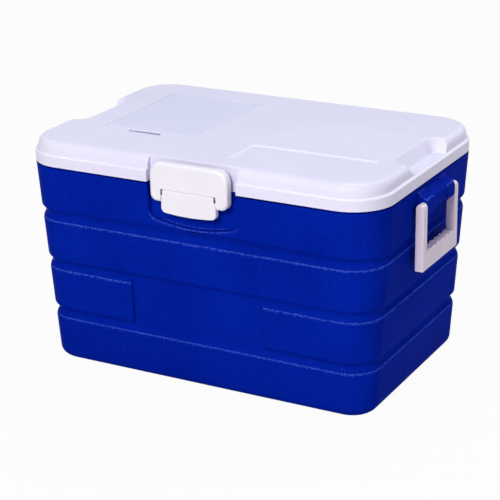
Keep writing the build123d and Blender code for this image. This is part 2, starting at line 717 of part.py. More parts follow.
def hatch_liner():
    """The pan that closes the hatch from below."""
    seat = LID_TOP - HATCH_SKIN - RUNNING
    plug = hatch_plug(0, seat)
    plug = chamfer(plug.faces().sort_by(Axis.Z)[0].edges(), PLUG_BEVEL)
    return plug - hatch_plug(LINER, seat + 1)


def hatch_foam():
    """The foam in the hatch."""
    return hatch_plug(LINER, LID_TOP - HATCH_SKIN - RUNNING)


def hatch_seal():
    """The flat gasket under the rim of the hatch, mitred at its corners."""
    outer, inner = GASKET_INSET - GASKET_W / 2, GASKET_INSET + GASKET_W / 2
    strip = Rectangle(HATCH_W - 2 * outer, HATCH_L - 2 * outer)
    strip -= Rectangle(HATCH_W - 2 * inner, HATCH_L - 2 * inner)
    return Pos(HATCH_X, HATCH_Y, LID_TOP - HATCH_T - GASKET_H) * extrude(strip, GASKET_H)


def hatch_hinge_pin():
    """The rod that the hatch turns on."""
    half = HATCH_W / 2 + HATCH_GAP + HATCH_PIN_SEAT - 1 - RUNNING
    return rod_x(HATCH_PIN_R, HATCH_X - half, HATCH_X + half, HATCH_PIVOT)


# ---------------------------------------------------------------- latch
def latch_plate():
    """The latch: a deep cap with a rod near its top, a notch for the lever and two hooks."""
    top, foot = SEAM_Z + LATCH_TOP, SEAM_Z + LATCH_FOOT
    x0, x1 = LATCH_X - LATCH_W / 2, LATCH_X + LATCH_W / 2
    corners = [(x0, foot), (x0, top), (x1, top), (x1, foot)]
    radii = [LATCH_FOOT_R, LATCH_TOP_R, LATCH_TOP_R, LATCH_FOOT_R]
    back = LATCH_FACE + LATCH_DEEP
    cap = along_y(corners, radii, LATCH_FACE, back)
    cap = chamfer(cap.faces().sort_by(Axis.Y)[0].edges(), LATCH_BEVEL)
    t = LATCH_T
    inner = [(x0 + t, foot + t), (x0 + t, top - t), (x1 - t, top - t), (x1 - t, foot + t)]
    cap -= along_y(inner, [r - t for r in radii], LATCH_FACE + t, back + 1)
    half = LEVER_W / 2 + LEVER_GAP
    lip = SEAM_Z + LEVER_TOP + LEVER_GAP
    for side in (-1, 1):
        x = LATCH_X + side * (half + t / 2)
        cap += box((x - t / 2, x + t / 2), (LATCH_FACE + t / 2, LATCH_FACE + LEVER_DEEP),
                   (foot + t / 2, lip + t))
        hook_x = sorted((LATCH_X + side * half, LATCH_X + side * (LATCH_W / 2 - t / 2)))
        hook_top = SEAM_Z - CATCH_DROP - CATCH_H - SNAP_GAP
        cap += box(hook_x, (LATCH_FACE + t / 2, LATCH_FACE + t + HOOK_REACH),
                   (hook_top - HOOK_H, hook_top))
    cap -= box((LATCH_X - half, LATCH_X + half), (LATCH_FACE - 1, back + 1), (foot - 1, lip))
    y, z = LATCH_PIVOT
    room = EAR_SPREAD + EAR_W
    cap -= box((LATCH_X - room, LATCH_X + room), (y, back + 1), (top - 2 * t, top + 1))
    cap -= rod_x(PIVOT_R + RUNNING, x0 + LATCH_SIDE_SKIN, x1 - LATCH_SIDE_SKIN, LATCH_PIVOT)
    reach = half + t + 1
    return cap - rod_x(LEVER_PIN_R + RUNNING, LATCH_X - reach, LATCH_X + reach, LEVER_PIVOT)


def latch_plate_pin():
    """The rod that the latch turns on, held in blind holes in its side walls."""
    half = LATCH_W / 2 - LATCH_SIDE_SKIN - RUNNING
    return rod_x(PIVOT_R, LATCH_X - half, LATCH_X + half, LATCH_PIVOT)


def latch_lever():
    """The finger lever: a shallow tray with a rolled top edge and a bowed foot."""
    back = LATCH_FACE + LEVER_DEEP
    top = LEVER_PIVOT[1]
    foot = SEAM_Z + LEVER_FOOT
    outline = sagging(LEVER_W, top, foot, LEVER_SAG, LEVER_CORNER_R, LATCH_FACE)
    tab = extrude(outline, amount=LEVER_DEEP, dir=(0, 1, 0))
    tab = chamfer(tab.faces().sort_by(Axis.Y)[0].edges().sort_by(Axis.Z)[0:-1], LEVER_BEVEL)
    t = LATCH_T
    hollow = sagging(LEVER_W - 2 * t, top + BEAD_R + 1, foot + t, LEVER_SAG, LEVER_CORNER_R - t,
                     LATCH_FACE + t)
    tab -= extrude(hollow, amount=LEVER_DEEP, dir=(0, 1, 0))
    half = LEVER_W / 2 - LEVER_SLOT_W
    for side in (-1, 1):
        slot_x = sorted((LATCH_X + side * half, LATCH_X + side * LEVER_W))
        tab -= box(slot_x, (LATCH_FACE - 1, back + 1),
                   (top + BEAD_R - LEVER_SLOT_H, top + BEAD_R + 1))
    tab -= box((LATCH_X - LEVER_W, LATCH_X + LEVER_W), (LATCH_FACE + t, back + 1),
               (top - LEVER_SLOT_H, top + BEAD_R + 1))
    tab += rod_x(BEAD_R, LATCH_X - half, LATCH_X + half, LEVER_PIVOT)
    return tab - rod_x(LEVER_PIN_R + RUNNING, LATCH_X - LEVER_W, LATCH_X + LEVER_W, LEVER_PIVOT)


def latch_lever_pin():
    """The rod that the lever turns on."""
    half = LEVER_W / 2 + LEVER_GAP + LATCH_T
    return rod_x(LEVER_PIN_R, LATCH_X - half, LATCH_X + half, LEVER_PIVOT)


# ---------------------------------------------------------------- handles
def handle():
    """The right-hand bail, hanging down."""
    x, z = HANDLE_PIVOT
    top, foot = z + HANDLE_T / 2, z - HANDLE_DROP
    x0, x1 = x - HANDLE_T / 2, x + HANDLE_T / 2
    half = HANDLE_W / 2
    side = [(x0, top), (x1, top), (x1, foot), (x0, foot)]
    round_top = HANDLE_T / 2 - SLIVER
    bail = along_y(side, [round_top, round_top, HANDLE_EDGE_R, HANDLE_EDGE_R], -half, half)
    bail -= box((x0 - 1, x1 + 1), (-ARM_INNER, ARM_INNER), (foot + GRIP_H - BUMP_RISE, top + 1))
    pitch = 2 * ARM_INNER / GRIP_BUMPS
    bump_r = (pitch ** 2 / 4 + BUMP_RISE ** 2) / (2 * BUMP_RISE)
    for n in range(GRIP_BUMPS):
        y = -ARM_INNER + (n + 0.5) * pitch
        bump = Pos(x, y, foot + GRIP_H - bump_r) * Rot(0, 90, 0) * Cylinder(bump_r, HANDLE_T)
        bail += bump & box((x0, x1), (y - pitch / 2, y + pitch / 2), (foot + BUMP_ROOT, top))
    tip = ARM_INNER - LUG_GAP - STUB_LENGTH + STUB_END_GAP
    for y0, y1 in ((-half + ARM_W / 2, -tip), (tip, half - ARM_W / 2)):
        bail += rod_y(STUB_R, y0, y1, HANDLE_PIVOT)
    return bail


# ---------------------------------------------------------------- lid hinges
def screw_places(side):
    """Where the hinge screws go, on the tub (-1) or on the lid (1): x, y of the leaf, z."""
    z = SEAM_Z - BODY_SCREW_DROP if side < 0 else SEAM_Z + LID_SCREW_RISE
    return [(hinge + x, BACK + LEAF_T, z) for hinge in (-HINGE_SPREAD, HINGE_SPREAD)
            for x in (-SCREW_SPREAD, SCREW_SPREAD)]


def leaf(x, side):
    """A hinge leaf on the tub (-1) or the lid (1) at x, with its knuckles."""
    y, z = HINGE_PIVOT
    half, middle = HINGE_W / 2, KNUCKLE_W / 2
    reach = LEAF_DROP if side < 0 else LEAF_RISE
    far = SEAM_Z + side * reach
    plate = box((x - half, x + half), (BACK, BACK + LEAF_T), sorted((z, far)))
    own = [(-half, -middle - KNUCKLE_GAP), (middle + KNUCKLE_GAP, half)]
    others = [(-middle - KNUCKLE_GAP, middle + KNUCKLE_GAP)]
    if side > 0:
        own, others = [(-middle, middle)], [(-half - 1, -middle), (middle, half + 1)]
    for low, high in own:
        plate += rod_x(KNUCKLE_R, x + low, x + high, HINGE_PIVOT)
    away = z + side * (KNUCKLE_R + KNUCKLE_GAP)
    for low, high in others:
        plate -= box((x + low, x + high), (BACK - 1, BACK + 3 * KNUCKLE_R),
                     sorted((z - side * 2 * KNUCKLE_R, away)))
    plate -= rod_x(HINGE_PIN_R + RUNNING, x - half - 1, x + half + 1, HINGE_PIVOT)
    for sx, sy, sz in screw_places(side):
        plate -= rod_y(SCREW_R + SCREW_GAP, BACK - 1, sy + 1, (sx, sz))
    return plate


def hinge_screws(side):
    """The four screws of the leaves on the tub (-1) or the lid (1), as one group."""
    screws = []
    for x, y, z in screw_places(side):
        shank = rod_y(SCREW_R, BACK - SCREW_L + 1, y, (x, z))
        head = Pos(x, y + SCREW_HEAD_H / 2, z) * Rot(-90, 0, 0) * Cone(SCREW_HEAD_R, SCREW_CROWN_R,
                                                                     SCREW_HEAD_H)
        screws.append(shank + head)
    return Compound(children=screws)


# ---------------------------------------------------------------- build
right_handle = handle()
nodes = {
    "outer_shell": outer_shell(),
    "body_foam": body_foam(),
    "inner_liner": inner_liner(),
    "lid_shell": lid_shell(),
    "lid_foam": lid_foam(),
    "lid_liner": lid_liner(),
    "lid_seal": lid_seal(),
    "hatch_cover": hatch_cover(),
    "hatch_foam": hatch_foam(),
    "hatch_liner": hatch_liner(),
    "hatch_seal": hatch_seal(),
    "hatch_hinge_pin": hatch_hinge_pin(),
    "latch_plate": latch_plate(),
    "latch_plate_pin": latch_plate_pin(),
    "latch_lever": latch_lever(),
    "latch_lever_pin": latch_lever_pin(),
    "handle_right": right_handle,
    "handle_left": mirror(right_handle, Plane.YZ),
    "hinge_body_screws": hinge_screws(-1),
    "hinge_lid_screws": hinge_screws(1),
}
for name, x in (("left", -HINGE_SPREAD), ("right", HINGE_SPREAD)):
    nodes["hinge_body_leaf_" + name] = leaf(x, -1)
    nodes["hinge_lid_leaf_" + name] = leaf(x, 1)
    nodes["hinge_pin_" + name] = rod_x(HINGE_PIN_R, x - HINGE_W / 2, x + HINGE_W / 2, HINGE_PIVOT)

for name, shape in nodes.items():
    export_step(shape, f"parts/{name}.step")
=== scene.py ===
# %% [markdown]
# A hard insulated carrier: a banded blue tub, a white domed lid with a small hatch, a front
# latch and a swinging bail at each end. The construction is already modelled to size, so this
# lesson loads it as a fixed frame, then gives each piece its rounded edges and its finish.
# Blender works in metres: X to the right-hand end, -Y to the latch, Z up from the floor. The
# sizes written in this lesson are millimetres, and MM turns them into metres.

# %% Load the frame
import bpy
import bmesh
import json
from math import cos, degrees, pi, radians, sin, tan
from mathutils import Matrix, Vector

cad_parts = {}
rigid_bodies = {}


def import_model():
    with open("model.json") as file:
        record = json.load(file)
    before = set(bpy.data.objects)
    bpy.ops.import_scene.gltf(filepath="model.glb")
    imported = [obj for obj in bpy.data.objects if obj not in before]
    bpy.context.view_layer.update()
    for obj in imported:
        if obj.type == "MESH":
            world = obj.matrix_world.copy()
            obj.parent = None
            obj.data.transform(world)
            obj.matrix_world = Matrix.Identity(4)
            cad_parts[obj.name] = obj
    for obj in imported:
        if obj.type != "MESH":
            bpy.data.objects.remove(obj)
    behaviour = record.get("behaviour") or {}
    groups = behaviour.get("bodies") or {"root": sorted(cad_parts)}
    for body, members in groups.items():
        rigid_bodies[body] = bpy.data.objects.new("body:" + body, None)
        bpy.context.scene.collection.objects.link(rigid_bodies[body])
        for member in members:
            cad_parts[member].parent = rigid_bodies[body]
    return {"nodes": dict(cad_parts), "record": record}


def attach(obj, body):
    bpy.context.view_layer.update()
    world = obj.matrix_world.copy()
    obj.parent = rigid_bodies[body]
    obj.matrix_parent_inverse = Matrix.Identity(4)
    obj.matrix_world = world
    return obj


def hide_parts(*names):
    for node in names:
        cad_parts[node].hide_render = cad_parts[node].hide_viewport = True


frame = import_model()
NODES = frame["nodes"]
MM = 0.001
for thing in list(bpy.data.objects):
    if thing.name in ("Cube", "Light", "Camera"):
        bpy.data.objects.remove(thing)
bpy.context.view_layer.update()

# %% [markdown]
# The view is that of a product picture: from the front right and a little above, with a long
# lens so that the box keeps its proportions. Azimuth turns about the vertical and elevation
# tips down; the slight roll levels the picture. The camera could be pointed with a tracking
# constraint, but three angles and a place say the same and can't drift.

# %% Camera
VIEW_AZIMUTH, VIEW_ELEVATION, VIEW_ROLL = radians(28.665), radians(20.212), radians(-0.955)
VIEW_FROM = Vector((1.17074, -2.15721, 1.06972))
LENS_MM, SENSOR_MM, FAR_CLIP_M = 118.23, 36.0, 50.0

eye_back = Vector((sin(VIEW_AZIMUTH) * cos(VIEW_ELEVATION),
                   -cos(VIEW_AZIMUTH) * cos(VIEW_ELEVATION), sin(VIEW_ELEVATION)))
eye_right = Vector((cos(VIEW_AZIMUTH), sin(VIEW_AZIMUTH), 0.0))
eye_up = eye_back.cross(eye_right)
rolled_right = cos(VIEW_ROLL) * eye_right + sin(VIEW_ROLL) * eye_up
rolled_up = -sin(VIEW_ROLL) * eye_right + cos(VIEW_ROLL) * eye_up
camera_data = bpy.data.cameras.new("view")
camera_data.lens, camera_data.sensor_width = LENS_MM, SENSOR_MM
camera_data.clip_end = FAR_CLIP_M
camera = bpy.data.objects.new("view", camera_data)
bpy.context.scene.collection.objects.link(camera)
camera.matrix_world = (Matrix.Translation(VIEW_FROM)
                       @ Matrix((rolled_right, rolled_up, eye_back)).transposed().to_4x4())
bpy.context.scene.camera = camera
print("camera at", [round(v, 3) for v in camera.location])

# %% [markdown]
# Shader maths reads best as plain expressions. This small class wraps a node's output, so that
# `height * 0.4 + dust` writes the Math nodes, and one method, `node`, adds any other node. A
# Math node's and a Mix node's sockets share their names, so those are given by number.

# %% A shader writer
def plug(socket, value):
    """Links a wire to a socket, or sets the socket to a plain value."""
    if isinstance(value, Wire):
        value.tree.links.new(value.socket, socket)
    else:
        socket.default_value = value


class Wire:
    """An output of a node, or a node tree to start from."""

    def __init__(self, tree, socket=None):
        self.tree, self.socket = tree, socket

    def node(self, kind, settings=None, out=0, **inputs):
        """Adds a node. Inputs go by name, with _ for a space, or by i and their number."""
        made = self.tree.nodes.new(kind)
        for name, value in (settings or {}).items():
            setattr(made, name, value)
        for name, value in inputs.items():
            numbered = name[0] == "i" and name[1:].isdigit()
            plug(made.inputs[int(name[1:]) if numbered else name.replace("_", " ")], value)
        return Wire(self.tree, made.outputs[out])

    def maths(self, operation, first, second):
        return self.node("ShaderNodeMath", {"operation": operation}, i0=first, i1=second)

    def __add__(self, other):
        return self.maths("ADD", self, other)

    def __mul__(self, other):
        return self.maths("MULTIPLY", self, other)

    def __sub__(self, other):
        return self.maths("SUBTRACT", self, other)

    def __rsub__(self, other):
        return self.maths("SUBTRACT", other, self)

    __radd__, __rmul__ = __add__, __mul__

    def clear_step(self, low, high):
        """0 below low and 1 above high, with a soft edge between."""
        return self.node("ShaderNodeMapRange", {"interpolation_type": "SMOOTHSTEP"},
                         Value=self, From_Min=low, From_Max=high)

    def blend(self, first, second):
        """The first colour where this wire is 0 and the second where it is 1."""
        return self.node("ShaderNodeMix", {"data_type": "RGBA"}, out=2, i0=self, i6=first,
                         i7=second)

    def noise(self, scale, detail, roughness=0.5):
        """Soft random blotches at the places on this wire."""
        return self.node("ShaderNodeTexNoise", Vector=self, Scale=scale, Detail=detail,
                         Roughness=roughness)


print("shader writer:", [name for name in vars(Wire) if not name.startswith("_")])

# %% [markdown]
# Every material starts the same way: a Principled shader, its output and the place on the
# object. Colours are given as on a screen, whose numbers follow the sRGB curve, so they are
# turned into the linear numbers that Blender works in.

# %% A material to start from
def new_material(name):
    """An empty material, its place socket (metres) and its shader node."""
    material = bpy.data.materials.new(name)
    material.use_nodes = True
    tree = material.node_tree
    tree.nodes.clear()
    shader = tree.nodes.new("ShaderNodeBsdfPrincipled")
    output = tree.nodes.new("ShaderNodeOutputMaterial")
    tree.links.new(shader.outputs[0], output.inputs["Surface"])
    place = Wire(tree).node("ShaderNodeTexCoord", out="Object")
    return material, place, shader


def linear(red, green, blue):
    """A screen colour (0-255) as a linear colour with full alpha."""
    return tuple((c / 12.92 if c <= 0.04045 else ((c + 0.055) / 1.055) ** 2.4)
                 for c in (red / 255, green / 255, blue / 255)) + (1.0,)


def feed(shader, **inputs):
    """Links or sets the shader's sockets, by name."""
    for name, value in inputs.items():
        plug(shader.inputs[name.replace("_", " ")], value)


print("mid grey on a screen is", round(linear(128, 128, 128)[0], 3), "in linear light")

# %% [markdown]
# Moulded plastic is never quite even: the steel mould is etched or blasted, so the skin has a
# fine pebbled grain; the melt leaves broad, faint clouds; and handling scuffs the edges, where
# the pebbles' tops turn pale first. Grain goes to the bump, clouds to the colour, and the scuffs
# to both. The same pale colour is also a painted highlight along edges that look up, and a
# deeper copy of the shade colour is painted shade in the gap under the lid. Both follow the
# attribute
# "edge" that every rounded piece carries: 1 along an outer edge that looks up, less round the
# latch, -1 in the gap under the lid, and 0 on the flats.

# %% Moulded plastic
PLASTIC_IOR = 1.49
CLOUDS_PER_M, PATCHES_PER_M = 7.0, 34.0      # clouds in the melt, patches of wear
FINES, CLUMPS = 1.7, 0.6                     # how many fit where one grain of the mould does
SCUFF_HIGHLIGHT_FROM, SCUFF_HIGHLIGHT_FULL = 2.05, 3.1           # sums of the patterns between which a spot pales
WEAR_FROM, WEAR_FULL = 0.50, 0.75
TINT_FROM, TINT_FULL = 0.38, 0.62
# Painted shade in the gap under the lid: where it starts, where it is full, how light it stays.
PAINTED_SHADE_FROM, PAINTED_SHADE_FULL, PAINTED_SHADE_LEVEL = 0.3, 1.0, 0.3
SHEEN_CHANGE, FINE_SHEEN = 0.08, 0.06        # how far wear and grain change the roughness


def moulded(name, colour, shade, pale_scuff_and_highlight, roughness, grain_mm, grain_depth_mm, gloss=0.5):
    """A grained plastic, clouded from shade to colour; gloss is its specular level."""
    material, place, shader = new_material(name)
    grain = grain_mm * MM
    edge = place.node("ShaderNodeAttribute", {"attribute_name": "edge"}, out="Fac")
    pebbles = place.node("ShaderNodeTexVoronoi", {"feature": "SMOOTH_F1"}, Vector=place,
                         Scale=1 / grain, Smoothness=0.6)
    fine = place.noise(FINES / grain, 3.0, 0.6)
    clumps = place.noise(CLUMPS / grain, 2.0)
    clouds = place.noise(CLOUDS_PER_M, 4.0, 0.55)
    worn = place.noise(PATCHES_PER_M, 6.0, 0.65).clear_step(WEAR_FROM, WEAR_FULL)
    # The weights say how much each pattern counts.
    base = (clouds * 0.6 + clumps * 0.4).clear_step(TINT_FROM, TINT_FULL).blend(shade, colour)
    # Pale spots: wear where the patterns add up, and a painted highlight where "edge" is high.
    scuff_and_highlight = (edge + clumps * 2.4 + fine + worn * 0.2).clear_step(SCUFF_HIGHLIGHT_FROM, SCUFF_HIGHLIGHT_FULL)
    # Painted shade: a deeper copy of the shade colour for the gap under the lid, where "edge" is
    # -1.
    painted_gap_shade = tuple(c * PAINTED_SHADE_LEVEL for c in shade[:3]) + (1.0,)
    base = (0 - edge).clear_step(PAINTED_SHADE_FROM, PAINTED_SHADE_FULL).blend(scuff_and_highlight.blend(base, pale_scuff_and_highlight), painted_gap_shade)
    height = pebbles * 0.5 + fine * 0.4 + clumps * 1.1
    bump = place.node("ShaderNodeBump", Height=height, Distance=grain_depth_mm * MM)
    feed(shader, Base_Color=base, Normal=bump, IOR=PLASTIC_IOR, Specular_IOR_Level=gloss,
         Roughness=roughness - SHEEN_CHANGE / 2 + worn * SHEEN_CHANGE
         + fine * FINE_SHEEN - scuff_and_highlight * FINE_SHEEN)
    return material


# The pale spots are wear and a painted highlight together.
print("moulded plastic: wear shows between sums of", SCUFF_HIGHLIGHT_FROM, "and", SCUFF_HIGHLIGHT_FULL)

# %% [markdown]
# One recipe serves every plastic here: only its colours, sheen and grain change. The blue skin
# is coarsely grained and almost free of shine, the lid is finer, and the latch and the handles
# come from polished moulds. The lining is smooth sheet, the seal soft rubber, and the foam has
# the open skin of a poured fill.

# %% The plastics
blue_plastic = moulded("blue_polyethylene", linear(2, 34, 161), linear(1, 29, 150),
                       linear(58, 86, 198), 0.42, 1.5, 0.16, gloss=0.002)
lid_plastic = moulded("white_polyethylene", linear(231, 229, 251), linear(226, 224, 248),
                      linear(246, 244, 254), 0.45, 1.3, 0.04, gloss=0.25)
# Painted shade: a slightly deeper copy of the lid's white for the hatch's cover.
hatch_shaded_plastic = moulded("hatch_polyethylene_shaded", linear(224, 225, 250), linear(220, 221, 247),
                        linear(246, 244, 254), 0.45, 1.3, 0.04, gloss=0.25)
latch_plastic = moulded("latch_polypropylene", linear(240, 237, 248), linear(235, 232, 244),
                        linear(246, 243, 252), 0.34, 0.9, 0.012, gloss=0.45)
handle_plastic = moulded("handle_polypropylene", linear(230, 217, 234), linear(222, 209, 226),
                         linear(241, 231, 243), 0.42, 1.0, 0.02, gloss=0.35)
liner_plastic = moulded("liner_sheet", linear(232, 232, 234), linear(226, 226, 229),
                        linear(240, 240, 242), 0.30, 6.0, 0.02)
seal_rubber = moulded("seal_rubber", linear(58, 58, 60), linear(50, 50, 52), linear(72, 72, 74),
                      0.62, 0.8, 0.02)
foam_fill = moulded("poured_foam", linear(226, 214, 174), linear(214, 200, 156),
                    linear(232, 222, 186), 0.85, 1.4, 0.5, gloss=0.2)
print("moulded materials:", [m.name for m in bpy.data.materials])

# %% [markdown]
# The hinge leaves are stamped from brushed steel sheet and the rods are drawn. Brushing is a
# noise pulled long in one direction, which shows as streaks in the roughness and the bump. A
# Wave texture would give streaks too, but they would be even, as real ones never are.

# %% Steel
STREAKS_ACROSS, STREAKS_ALONG = 900.0, 12.0    # to the metre
STREAK_DEEP_MM, STREAK_SHEEN = 0.02, 0.12
SMUDGES_PER_M, SMUDGE_FROM, SMUDGE_FULL = 60.0, 0.35, 0.7
SMUDGE_TONE, SMUDGE_SHEEN = 16, 0.06


def brushed(name, colour, roughness, along):
    """Steel with streaks along one axis and duller smudges."""
    material, place, shader = new_material(name)
    squeeze = [STREAKS_ACROSS] * 3
    squeeze["XYZ".index(along)] = STREAKS_ALONG
    streaks = place.node("ShaderNodeMapping", Vector=place, Scale=squeeze).noise(1.0, 3.0)
    smudge = place.noise(SMUDGES_PER_M, 4.0)
    bump = place.node("ShaderNodeBump", Height=streaks, Distance=STREAK_DEEP_MM * MM)
    duller = linear(*(c - SMUDGE_TONE for c in colour))
    tone = smudge.clear_step(SMUDGE_FROM, SMUDGE_FULL).blend(linear(*colour), duller)
    feed(shader, Base_Color=tone, Metallic=1.0, Normal=bump,
         Roughness=roughness + streaks * STREAK_SHEEN + smudge * SMUDGE_SHEEN)
    return material


leaf_steel = brushed("brushed_leaf_steel", (188, 188, 186), 0.26, "X")
pin_steel = brushed("drawn_rod_steel", (176, 176, 178), 0.24, "X")
screw_steel = brushed("screw_steel", (196, 196, 194), 0.22, "Z")
print("steels:", leaf_steel.name, pin_steel.name, screw_steel.name)

# %% [markdown]
# The frame's record names a finish for every piece of the construction, so one table is enough
# to dress them all. Their shapes are left alone.

# %% Dress the frame
FINISHES = {"blue_shell": blue_plastic, "white_lid": lid_plastic, "white_latch": latch_plastic,
            "white_handle": handle_plastic, "white_liner": liner_plastic,
            "grey_seal": seal_rubber, "foam": foam_fill, "steel_leaf": leaf_steel,
            "steel_pin": pin_steel, "steel_screw": screw_steel}
SLOTS = {row["node"]: row["material_slot"] for row in frame["record"]["subparts"]}
BODY_OF = {node: body for body, nodes in frame["record"]["behaviour"]["bodies"].items()
           for node in nodes}
for node_name, node in NODES.items():
    node.data.materials.clear()
    node.data.materials.append(FINISHES[SLOTS[node_name]])
print("finishes set on", len(NODES), "nodes")

# %% [markdown]
# By hand you click on what you want; a script selects by place and by the way a face looks. A
# Blender operator acts on all that is selected, so everything else is deselected first.

# %% Selecting by place
FAR, SLACK = 9999.0, 0.1


def deselect_all():
    for other in list(bpy.context.selected_objects):
        other.select_set(False)


def select_only(thing):
    """Makes one object the only one selected, and the active one."""
    deselect_all()
    thing.select_set(True)
    bpy.context.view_layer.objects.active = thing


def select_faces(thing, wanted):
    """In edit mode, selects the faces for which wanted(middle in mm, normal) is true."""
    bpy.ops.mesh.select_all(action="DESELECT")
    shape = bmesh.from_edit_mesh(thing.data)
    for face in shape.faces:
        if wanted(face.calc_center_median() / MM, face.normal):
            face.select_set(True)
    bmesh.update_edit_mesh(thing.data)


def near(value, wanted, slack=SLACK):
    return abs(value - wanted) < slack


def within(place, box):
    """True inside a box, which is given as its limits along X, Y and Z."""
    return all(low < value < high for value, (low, high) in zip(place, box))


deselect_all()
print("selected:", len(bpy.context.selected_objects), "objects")

# %% [markdown]
# The tub is a rounded rectangle in plan, and its sides lean in towards the floor. Which edge is
# a crest, a lip or a foot is easiest to tell from how deep it lies behind that plain leaning
# side, so two helpers measure that.

# %% The plain leaning side
HALF_LENGTH, HALF_DEPTH, CORNER_R, SEAM_Z, DRAFT = 300.0, 201.5, 64.0, 328.0, radians(4)


def outwards(x, y):
    """Distance in from the seam outline, and the direction straight out, in plan (mm)."""
    dx, dy = abs(x) - (HALF_LENGTH - CORNER_R), abs(y) - (HALF_DEPTH - CORNER_R)
    if dx > 0 and dy > 0:
        away = Vector((dx, dy, 0))
        inset = CORNER_R - away.length
    else:
        away = Vector((1, 0, 0)) if dx > dy else Vector((0, 1, 0))
        inset = CORNER_R - max(dx, dy)
    away.normalize()
    return inset, Vector((away.x * (1 if x > 0 else -1), away.y * (1 if y > 0 else -1), 0))


def into_wall(place):
    """How deep a place lies behind the leaning side, and the way straight out (mm)."""
    inset, away = outwards(place.x, place.y)
    return inset - (SEAM_Z - place.z) * tan(DRAFT), away


print("at the floor the side stands in by", round(SEAM_Z * tan(DRAFT), 1), "mm")

# %% [markdown]
# A painted highlight, mixed with real wear, goes on outer edges that look up, where light from
# above catches them. The material reads it from the attribute "edge", which is worked out from
# the mesh: a point is on an edge when all the faces round it belong to a round or to the narrow
# flat that follows a crest. It could be painted on by hand as vertex colours, but this way every
# edge is found alike.

# %% Marking the highlit and worn edges
ROUND = 1    # material index that flags the faces of a round while it is made
CREST_FLAT_MM, CREST_LEAN = 5.0, (0.05, 0.3)      # height, and how far the flat looks up
CHAMFER_MM, CHAMFER_LEAN = 1.2, (0.5, 0.9)
BAND_MM, UPRIGHT = 6.0, 0.2
LOOKS_UP = 3.0                                    # a third of straight up counts as full
FRONT_STEP = ((-FAR, FAR), (-FAR, -150.0), (157.0, 170.0))
LATCH_SURROUND = ((-76.0, 84.0), (-FAR, -185.0), (250.0, FAR))
LATCH_HIGHLIGHT_AND_WEAR = 0.75


def tall(face):
    """A face's height in mm."""
    heights = [vert.co.z for vert in face.verts]
    return (max(heights) - min(heights)) / MM


def on_edge(face):
    """True on a round, on the narrow flat that follows a band's crest and on a fine chamfer."""
    crest_flat = tall(face) < CREST_FLAT_MM and CREST_LEAN[0] < face.normal.z < CREST_LEAN[1]
    chamfer = tall(face) < CHAMFER_MM and CHAMFER_LEAN[0] < face.normal.z < CHAMFER_LEAN[1]
    return face.material_index == ROUND or crest_flat or chamfer


def highlight_and_wear_at(place):
    """How strong the painted highlight and the wear are at a place: less round the latch, and
    none on the step over the sunk panel at the front."""
    if within(place, FRONT_STEP):
        return 0
    return LATCH_HIGHLIGHT_AND_WEAR if within(place, LATCH_SURROUND) else 1


def mark_edges(mesh, seam):
    """Stores a painted highlight, with wear in it, on edges that look up, and -1 for painted
    shade in the gap above seam.
    """
    shape = bmesh.new()
    shape.from_mesh(mesh)
    highlight_wear_and_shade = shape.verts.layers.float.new("edge")
    for vert in shape.verts:
        # In the gap under the lid, -1 asks the material for painted shade.
        if vert.co.z > seam * MM:
            rounds = [f for f in vert.link_faces if f.material_index == ROUND]
            bands = [f for f in vert.link_faces
                     if abs(f.normal.z) < UPRIGHT and tall(f) > BAND_MM]
            vert[highlight_wear_and_shade] = -1 if rounds and not bands else 0
        # Outer edges that look up get a painted highlight, mixed with wear.
        elif all(on_edge(face) for face in vert.link_faces):
            turns = sum(e.calc_face_angle_signed(0) for e in vert.link_edges)
            faces_up = min(max(vert.normal.z * LOOKS_UP, 0), 1)
            vert[highlight_wear_and_shade] = faces_up * highlight_and_wear_at(vert.co / MM) if turns > 0 else 0
    for face in shape.faces:
        face.material_index = 0
    shape.to_mesh(mesh)
    shape.free()


# These shares set both the painted highlight and the wear.
print("wear on a band's crest:", highlight_and_wear_at(Vector((0, -190, 240))),
      "and round the latch:", highlight_and_wear_at(Vector((0, -190, 260))))

# %% [markdown]
# Moulded edges are never sharp: the steel mould is cut with a ball-nosed tool and the plastic
# has to leave it, so every corner has a radius. The construction has plain flats there. Each
# showing moulding is therefore copied, its triangles are merged back into whole faces, the
# edges that show are marked with the radius they need, and a Bevel modifier rounds them. A
# Subdivision Surface would do it too, but it would also soften the flat walls.

# %% A rounding helper
MERGE_MM, FLAT_DEGREES, BEND_DEGREES, SMOOTH_DEGREES, ROUND_STEPS = 0.002, 0.6, 15, 28, 3


def whole_faces(piece, first):
    """Merges a copy's loose triangles; first may then mend the piece in edit mode."""
    select_only(piece)
    bpy.ops.object.mode_set(mode="EDIT")
    bpy.ops.mesh.select_all(action="SELECT")
    bpy.ops.mesh.remove_doubles(threshold=MERGE_MM * MM)
    bpy.ops.mesh.dissolve_limited(angle_limit=radians(FLAT_DEGREES))
    bpy.ops.mesh.customdata_custom_splitnormals_clear()
    if first:
        first(piece)
    bpy.ops.object.mode_set(mode="OBJECT")


def weigh_edges(mesh, radius_of):
    """Gives each edge its share of the widest radius; returns that and how many get one."""
    shape = bmesh.new()
    shape.from_mesh(mesh)
    weight = shape.edges.layers.float.new("bevel_weight_edge")
    radii = {}
    for edge in shape.edges:
        if len(edge.link_faces) == 2 and degrees(edge.calc_face_angle()) > BEND_DEGREES:
            place = (edge.verts[0].co + edge.verts[1].co) / 2 / MM
            way = (edge.link_faces[0].normal + edge.link_faces[1].normal).normalized()
            radii[edge] = radius_of(place, way, edge)
    widest = max(radii.values())
    for edge, radius in radii.items():
        edge[weight] = radius / widest
    rounds = sum(radius > 0 for radius in radii.values())
    shape.to_mesh(mesh)
    shape.free()
    return widest, rounds


